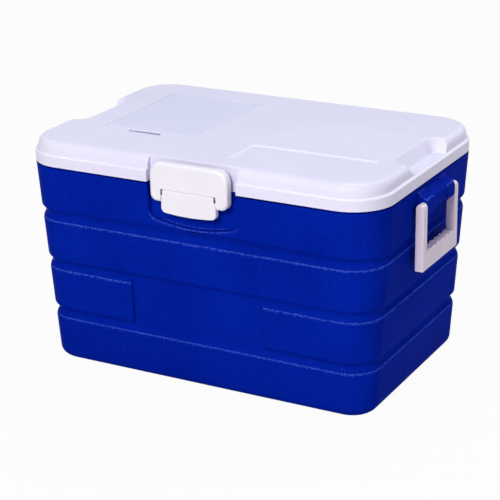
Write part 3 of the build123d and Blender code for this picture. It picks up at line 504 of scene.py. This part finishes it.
def rounded(node_name, piece_name, radius_of, seam=FAR, first=None):
    """A copy of a moulding with rounded edges; radius_of(place, way, edge) is in mm."""
    piece = bpy.data.objects.new(piece_name, NODES[node_name].data.copy())
    bpy.context.scene.collection.objects.link(piece)
    whole_faces(piece, first)
    widest, rounds = weigh_edges(piece.data, radius_of)
    bevel = piece.modifiers.new("round", "BEVEL")
    bevel.limit_method, bevel.width, bevel.segments = "WEIGHT", widest * MM, ROUND_STEPS
    bevel.use_clamp_overlap, bevel.miter_outer, bevel.material = False, "MITER_SHARP", ROUND
    piece.data.materials.append(None)
    bpy.ops.object.modifier_apply(modifier="round")
    bpy.ops.object.shade_smooth_by_angle(angle=radians(SMOOTH_DEGREES))
    even = piece.modifiers.new("even", "WEIGHTED_NORMAL")
    even.keep_sharp = True
    bpy.ops.object.modifier_apply(modifier="even")
    mark_edges(piece.data, seam)
    piece.data.materials.pop(index=ROUND)
    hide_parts(node_name)
    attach(piece, BODY_OF[node_name])
    print(piece_name, "-", rounds, "edges rounded,", len(piece.data.polygons), "faces")
    return piece


print("edges that bend by more than", BEND_DEGREES, "degrees can be rounded")

# %% [markdown]
# The tub's skin shows its bands, its grooves, the scoop under the latch and the lugs. Its
# inner side is never seen, so only edges that look outwards are rounded: the foot most, the
# scoop's rim broadly, the crests and the grooves' lips by two millimetres, and the rest less.
# The foot is the construction's own bevel, and its two edges meet in one round.

# %% Round the tub
LATCH_X, PIVOT = 4.0, Vector((309.2, 0, 300.0))
LUG_PROUD, LUG_END, LUG_END_R, LUG_BOSS, LUG_BOSS_R = 0.6, 52.2, 1.2, 26.2, 0.6
STUB_HOLE_R, STUB_HOLE_DEEP = 4.5, 9.0
FOOT_BEVEL, FOOT_SLACK, FOOT_R, UNDERSIDE_Z = 9.0, 3.0, 5.4, 0.5
SEAM_BAND, SEAM_LIP, SEAM_R = 3.0, 0.3, 0.5
SCOOP, SCOOP_R = ((-76.0, 84.0), (-FAR, -180.0), (255.0, FAR)), 4.0
PANEL, PANEL_R = ((-118.0, 118.0), (-FAR, -150.0), (75.0, 170.0)), 1.2
GROOVES_DEEP, CREST_R, OUTER_WALL_DEEP = 6.5, 2.0, 4.0
LOOKS_OUT, WALL_SLACK = 0.2, 0.5


def lug_radius(place, edge):
    """The lug between a handle's arms, without the holes for the handle's stubs."""
    off_pivot = Vector((abs(place.x) - PIVOT.x, 0, place.z - PIVOT.z)).length
    if off_pivot < STUB_HOLE_R and abs(place.y) > LUG_END - STUB_HOLE_DEEP:
        return 0
    if near(abs(place.y), LUG_BOSS, WALL_SLACK):
        return LUG_BOSS_R
    at_end = near(abs(place.y), LUG_END, WALL_SLACK)
    return LUG_END_R if at_end and edge.is_convex else 0


def tub_radius(place, way, edge):
    depth, away = into_wall(place)
    if place.z < UNDERSIDE_Z:
        return FOOT_R if near(depth, FOOT_BEVEL, FOOT_SLACK) else 0
    if way.dot(away) < LOOKS_OUT:
        return 0
    if place.z > SEAM_Z - SEAM_BAND:
        return SEAM_R if edge.is_convex and place.z < SEAM_Z - SEAM_LIP else 0
    if depth < -LUG_PROUD:
        return lug_radius(place, edge)
    if place.z < FOOT_BEVEL + FOOT_SLACK:
        return FOOT_R if depth < OUTER_WALL_DEEP else 0
    if within(place, SCOOP):
        return SCOOP_R if near(depth, 0, WALL_SLACK) else 0
    if within(place, PANEL):
        return PANEL_R if edge.is_convex else 0
    return CREST_R if depth < GROOVES_DEEP else 0


tub_skin = rounded("outer_shell", "tub_skin", tub_radius, seam=SEAM_Z - SEAM_BAND)

# %% [markdown]
# A thin bead follows the foot of the scoop, where its back turns out into the ledge, to stiffen
# the wall under the latch. It is the arc of a large circle, so a small disc is swept round with
# Spin, whose axis stands square to the leaning back. The right end is drawn out to a point and
# the left end stays square. Its "edge" attribute follows how far each point looks up: the top
# gets a painted highlight, and the underside painted shade, because it lies close over the
# ledge.

# %% Stiffening bead
BEAD_MIDDLE, BEAD_R, BEAD_SIDES = Vector((LATCH_X, -191.0, 264.6)), 1.6, 12
ARC_R, ARC_HALF, ARC_STEPS, TIP = 260.0, radians(12.3), 24, 0.1
BACK_LEAN, SMOOTH_BELOW = radians(2.2), radians(40)

back_out = Vector((0, -cos(BACK_LEAN), sin(BACK_LEAN)))
back_up = Vector((0, sin(BACK_LEAN), cos(BACK_LEAN)))
arc_centre = BEAD_MIDDLE + back_up * ARC_R
start = arc_centre - (back_up * cos(ARC_HALF) + Vector((1, 0, 0)) * sin(ARC_HALF)) * ARC_R
deselect_all()
bpy.ops.mesh.primitive_circle_add(vertices=BEAD_SIDES, radius=BEAD_R * MM, fill_type="NGON",
                                  location=start * MM, rotation=(0, pi / 2, 0))
bead = bpy.context.object
bead.name = "scoop_bead"
bpy.ops.object.transform_apply(location=True, rotation=True, scale=True)
bpy.ops.object.mode_set(mode="EDIT")
bpy.ops.mesh.select_all(action="SELECT")
bpy.ops.mesh.spin(steps=ARC_STEPS, angle=-2 * ARC_HALF, center=arc_centre * MM, axis=back_out)
bpy.ops.transform.resize(value=(TIP, TIP, TIP))
bpy.ops.mesh.select_all(action="SELECT")
bpy.ops.mesh.normals_make_consistent(inside=False)
bpy.ops.object.mode_set(mode="OBJECT")
bpy.ops.object.shade_smooth_by_angle(angle=SMOOTH_BELOW)
# Painted light: +1 on top for a highlight, -1 underneath for shade.
bead_highlight_and_shade = bead.data.attributes.new("edge", "FLOAT", "POINT")
for vert, mark in zip(bead.data.vertices, bead_highlight_and_shade.data):
    mark.value = vert.normal.z
bead.data.materials.append(blue_plastic)
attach(bead, BODY_OF["outer_shell"])
print("bead of", len(bead.data.polygons), "faces")

# %% [markdown]
# The lid is one thin moulding: a rim, a narrow ledge and the dome, cut by two hand notches,
# the latch's recess, the hatch's pocket and the tray. The ledge is under three millimetres
# wide, so the rounds on its two sides have to share it.

# %% Round the lid
LID_FOOT, RIM_TOP, LID_TOP, LID_R = 329.5, 347.3, 367.5, 1.1
RECESS, RECESS_HALF, RECESS_TOP = ((-72.0, 80.0), (-FAR, -187.0), (-FAR, FAR)), 75.0, 360.0
EAR_SPREAD, EAR_HALF = 40.0, 7.0          # the two ears that hold the latch's rod
POCKET, POCKET_R = ((-227.0, -43.0), (-101.0, 149.0), (-FAR, FAR)), 0.5
TRAY, TRAY_R, TRAY_DEEP = ((40.0, 256.0), (-162.0, -73.0), (-FAR, FAR)), 1.3, 3.0
NOTCH_HALF, NOTCH_FROM = 90.0, 250.0
RIM_ZONE, LEDGE_FROM, LEDGE_SLACK = 45.0, RIM_TOP - 3.0, 0.3
LOOKS_DOWN, LOOKS_IN = -0.3, -0.95


def lid_radius(place, way, edge):
    inset, away = outwards(place.x, place.y)
    if place.z < LID_FOOT or way.z < LOOKS_DOWN or way.dot(away) < LOOKS_IN:
        return 0
    if within(place, RECESS):
        across = abs(place.x - LATCH_X)
        at_side = near(across, RECESS_HALF)
        at_top = place.z > RECESS_TOP and not near(across, EAR_SPREAD, EAR_HALF)
        return LID_R if edge.is_convex and (at_side or at_top) else 0
    if within(place, POCKET):
        return POCKET_R if place.z > LID_TOP - SLACK and edge.is_convex else 0
    if within(place, TRAY):
        return TRAY_R if place.z > LID_TOP - TRAY_DEEP else 0
    on_ledge = place.z < RIM_TOP + LEDGE_SLACK
    in_notch = abs(place.y) < NOTCH_HALF and abs(place.x) > NOTCH_FROM
    by_rim = inset < RIM_ZONE and place.z > LEDGE_FROM
    return LID_R if by_rim and (on_ledge or in_notch) else 0


lid_skin = rounded("lid_shell", "lid_skin", lid_radius)

# %% [markdown]
# The hatch's cover is a small thick panel with a soft edge all round, a little broader at the
# front, where fingers lift it. Its rear edge is rolled round the hinge pin and stays as it is.
# It takes a slightly deeper, cooler white than the lid, as painted shade: the cover catches a
# little less light than the lid round it.

# %% Round the hatch's cover
HATCH_EDGE, ROLLED_FROM, HATCH_FRONT_R, HATCH_R = 1.5, 121.0, 0.9, 0.5


def hatch_radius(place, way, edge):
    if place.z < LID_TOP - HATCH_EDGE or place.y > ROLLED_FROM:
        return 0
    looks_forward = way.y < -0.5
    return HATCH_FRONT_R if looks_forward else HATCH_R


hatch_skin = rounded("hatch_cover", "hatch_skin", hatch_radius)
hatch_skin.data.materials[0] = hatch_shaded_plastic

# %% [markdown]
# Under the cover's front edge a finger hole is moulded in. Four Bisect cuts draw its outline on
# the front face, and Extrude pushes it back. A Boolean would cut it too, but it leaves long thin
# triangles. The cover's two sides are then moved out a little, to narrow the gaps beside it.

# %% Finger hole
FINGER_X, FINGER_Z, FINGER_DEEP = (-167.0, -113.0), (360.6, 364.7), 9.0
HATCH_X, HATCH_FRONT, HATCH_SIDE = -135.0, -83.0, 80.0
SIDE_MOVES = ((-1, 0.8), (1, 0.4))    # left and right side, and how far out each goes
SQUARE, SIDEWAYS = 0.99, 0.6          # how squarely a face looks along an axis


def on_front(middle, normal):
    return normal.y < -SQUARE and near(middle.y, HATCH_FRONT)


def in_finger_hole(middle, normal):
    return (on_front(middle, normal) and FINGER_X[0] < middle.x < FINGER_X[1]
            and FINGER_Z[0] < middle.z < FINGER_Z[1])


select_only(hatch_skin)
bpy.ops.object.mode_set(mode="EDIT")
cuts = [((x * MM, 0, 0), (1, 0, 0)) for x in FINGER_X]
cuts += [((0, 0, z * MM), (0, 0, 1)) for z in FINGER_Z]
for point, normal in cuts:
    select_faces(hatch_skin, on_front)
    bpy.ops.mesh.bisect(plane_co=point, plane_no=normal)
select_faces(hatch_skin, in_finger_hole)
bpy.ops.mesh.extrude_region_move(TRANSFORM_OT_translate={"value": (0, FINGER_DEEP * MM, 0)})
for side, move in SIDE_MOVES:
    select_faces(hatch_skin, lambda middle, normal: normal.x * side > SIDEWAYS
                 and (middle.x - HATCH_X) * side > HATCH_SIDE)
    bpy.ops.transform.translate(value=(side * move * MM, 0, 0))
bpy.ops.object.mode_set(mode="OBJECT")
print("finger hole under the hatch's edge,", FINGER_DEEP, "mm deep")

# %% [markdown]
# The latch is a hollow plate that hangs on a rod in the lid and snaps under a bar of the tub.
# Neither the rod's ends nor the hooks' ends show on a real one, so the plate's corners are
# closed before they are rounded: the faces there are deleted and the holes are filled.

# %% Round the latch's plate
ROD_AT, ROD_R = Vector((LATCH_X, -199.0, 357.0)), 2.0
ROD_HOLES_FROM, HOOK_ENDS_FROM = 45.0, 60.5    # either way from the middle
HOOK_Z, VERY_SQUARE = (307.6, 310.8), 0.995
LEVER_ROOM = ((LATCH_X - 47.0, LATCH_X + 47.0), (-FAR, FAR), (-FAR, 324.5))
PLATE_FACE, PLATE_FACE_R, PLATE_SIDE, PLATE_SIDE_R = -209.8, 1.7, -207.0, 0.9
PLATE_SLACK = 0.05


def clean_corners(plate):
    """Closes the skin at the corners, where the ends of the rod and of the hooks don't show."""
    def unwanted(middle, normal):
        from_rod = Vector((0, middle.y - ROD_AT.y, middle.z - ROD_AT.z))
        across = abs(middle.x - LATCH_X)
        in_hole = from_rod.length < ROD_R + SLACK and normal.dot(from_rod) < 0
        square = max(abs(normal.x), abs(normal.y), abs(normal.z)) > VERY_SQUARE
        on_hook = square and HOOK_Z[0] < middle.z < HOOK_Z[1]
        return in_hole and across > ROD_HOLES_FROM or on_hook and across > HOOK_ENDS_FROM

    select_faces(plate, unwanted)
    bpy.ops.mesh.delete(type="FACE")
    bpy.ops.mesh.select_all(action="DESELECT")
    bpy.ops.mesh.select_mode(type="EDGE")
    bpy.ops.mesh.select_non_manifold()
    bpy.ops.mesh.fill_holes(sides=0)
    bpy.ops.mesh.quads_convert_to_tris(ngon_method="BEAUTY")
    bpy.ops.mesh.select_mode(type="VERT")
    bpy.ops.mesh.select_all(action="SELECT")
    bpy.ops.mesh.normals_make_consistent(inside=False)


def plate_radius(place, way, edge):
    if within(place, LEVER_ROOM) or not edge.is_convex:
        return 0
    if near(place.y, PLATE_FACE, PLATE_SLACK):
        return PLATE_FACE_R
    return PLATE_SIDE_R if near(place.y, PLATE_SIDE, PLATE_SLACK) else 0


latch_skin = rounded("latch_plate", "latch_skin", plate_radius, first=clean_corners)

# %% [markdown]
# The latch's rod is drawn steel, cut to length, with its ends lightly chamfered so that it can
# be pushed in. It ends inside the plate's side walls.

# %% Latch rod
ROD_HALF, ROD_CHAMFER, ROD_SIDES = 57.5, 0.5, 24

deselect_all()
bpy.ops.mesh.primitive_cylinder_add(vertices=ROD_SIDES, radius=ROD_R * MM,
                                    depth=2 * ROD_HALF * MM, location=ROD_AT * MM,
                                    rotation=(0, pi / 2, 0))
latch_rod = bpy.context.object
latch_rod.name = "latch_rod"
bpy.ops.object.transform_apply(location=True, rotation=True, scale=True)
rod_ends = latch_rod.modifiers.new("ends", "BEVEL")
rod_ends.width, rod_ends.segments = ROD_CHAMFER * MM, 2
bpy.ops.object.modifier_apply(modifier="ends")
bpy.ops.object.shade_smooth_by_angle(angle=SMOOTH_BELOW)
latch_rod.data.materials.append(pin_steel)
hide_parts("latch_plate_pin")
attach(latch_rod, BODY_OF["latch_plate_pin"])
print("latch rod,", 2 * ROD_HALF, "mm long")

# %% [markdown]
# The finger lever is thin, so its edges are only broken. The two handles are the thickest
# mouldings and have the softest outer edges, which is what a hand feels. They are one moulding
# used twice, but each is a piece of its own, because each swings on its own.

# %% Round the lever and the handles
LEVER_FACE, LEVER_ROLL, LEVER_R = -208.7, 316.0, 0.5
ARM_INNER, ARM_OUTER, ARM_OUTER_R, ARM_INNER_R = 53.0, 66.5, 1.7, 1.2
STUB_FROM, GRIP_TOP = 293.0, 236.0


def lever_radius(place, way, edge):
    on_face = place.y < LEVER_FACE and place.z < LEVER_ROLL
    return LEVER_R if on_face and edge.is_convex else 0


def bail_radius(place, way, edge):
    at_stub = (place.z > STUB_FROM and near(abs(place.y), ARM_INNER)
               and near(abs(place.x), PIVOT.x, STUB_HOLE_R))
    if at_stub or not edge.is_convex:
        return 0
    if abs(place.y) > ARM_OUTER:
        return ARM_OUTER_R
    on_grip = place.z < GRIP_TOP
    return ARM_INNER_R if on_grip or near(abs(place.y), ARM_INNER) else 0


lever_skin = rounded("latch_lever", "lever_skin", lever_radius)
bails = [rounded("handle_" + side, "bail_" + side, bail_radius) for side in ("right", "left")]

# %% [markdown]
# The floor is a wide pale sweep. In a picture it should be plain white, yet keep the soft
# shadow that sets the box down on it. More light would bleach the box as well, so the floor
# glows only for the rays that come from the camera or from a reflection: a Light Path node
# tells them apart. The rest of it is plain matt grey.

# %% Floor
FLOOR_M, FLOOR_DROP, FLOOR_GREY, FLOOR_GLOW = 14.0, 0.3, 0.70, 0.95
WHITE = (1.0, 1.0, 1.0, 1.0)


def rays(tree, kind):
    """1 for the rays of one kind and 0 for all others."""
    return Wire(tree).node("ShaderNodeLightPath", out="Is " + kind + " Ray")


bpy.ops.mesh.primitive_plane_add(size=FLOOR_M, location=(0, 0, -FLOOR_DROP * MM))
floor = bpy.context.object
floor.name = "floor"
floor_material, _, floor_shader = new_material("pale_floor")
feed(floor_shader, Base_Color=(FLOOR_GREY, FLOOR_GREY, FLOOR_GREY, 1.0), Roughness=0.9)
floor_tree = floor_material.node_tree
glow = Wire(floor_tree).node("ShaderNodeEmission", Color=WHITE, Strength=1.0)
shown = rays(floor_tree, "Camera") + rays(floor_tree, "Glossy")
floor_mix = Wire(floor_tree).node("ShaderNodeMixShader", Fac=shown * FLOOR_GLOW,
                                  i1=Wire(floor_tree, floor_shader.outputs[0]), i2=glow)
floor_out = next(n for n in floor_tree.nodes if n.type == "OUTPUT_MATERIAL")
floor_tree.links.new(floor_mix.socket, floor_out.inputs["Surface"])
floor.data.materials.append(floor_material)
print("floor,", FLOOR_M, "m wide")

# %% [markdown]
# Four large soft lamps light the set, all pointed at the middle of the box: a strong one in
# front and above, a wide cool one overhead, one behind to the right that picks out the rear
# edges, and a weak warm one at the right. Small lamps would throw hard shadows and burn white
# spots into the lid.

# %% Lamps
CENTRE = Vector((0.0, 0.0, 0.2))


def lamp(name, place, size, power, colour):
    """A square soft lamp that faces the middle of the box."""
    data = bpy.data.lights.new(name, "AREA")
    data.shape, data.size, data.energy, data.color = "SQUARE", size, power, colour
    made = bpy.data.objects.new(name, data)
    bpy.context.scene.collection.objects.link(made)
    made.location = place
    made.rotation_euler = (Vector(place) - CENTRE).to_track_quat("Z", "Y").to_euler()


# name, place and size in metres, power in watts, colour
lamp("key", (0.2, -3.0, 2.2), 1.0, 80.0, (1.0, 0.98, 0.94))
lamp("top", (0.2, 0.6, 2.8), 1.6, 19.5, (0.76, 0.88, 1.0))
lamp("back", (1.3, 2.9, 1.7), 1.6, 26.0, (0.94, 0.96, 1.0))
lamp("fill", (2.6, -0.8, 1.4), 1.4, 9.5, (1.0, 0.90, 0.80))
print("lamps:", [light.name for light in bpy.data.lights])

# %% [markdown]
# The world does two jobs, again told apart by Light Path: a faint, nearly white sky lifts the
# shadows, and a white backdrop is what the camera, reflections and clear pieces see. The view
# transform is Standard, at which a colour renders about as it is written.

# %% World
SKY_COLOUR, SKY_STRENGTH = (0.95, 0.93, 0.96, 1.0), 0.24

world = bpy.data.worlds.new("studio")
bpy.context.scene.world = world
world.use_nodes = True
world_tree = world.node_tree
world_tree.nodes.clear()
seen = rays(world_tree, "Camera") + rays(world_tree, "Glossy") + rays(world_tree, "Transmission")
sky = Wire(world_tree).node("ShaderNodeBackground", Color=SKY_COLOUR, Strength=SKY_STRENGTH)
backdrop = Wire(world_tree).node("ShaderNodeBackground", Color=WHITE, Strength=1.0)
world_mix = Wire(world_tree).node("ShaderNodeMixShader", Fac=seen, i1=sky, i2=backdrop)
world_out = world_tree.nodes.new("ShaderNodeOutputWorld")
world_tree.links.new(world_mix.socket, world_out.inputs["Surface"])
bpy.context.scene.view_settings.view_transform = "Standard"
print("world and view transform set")
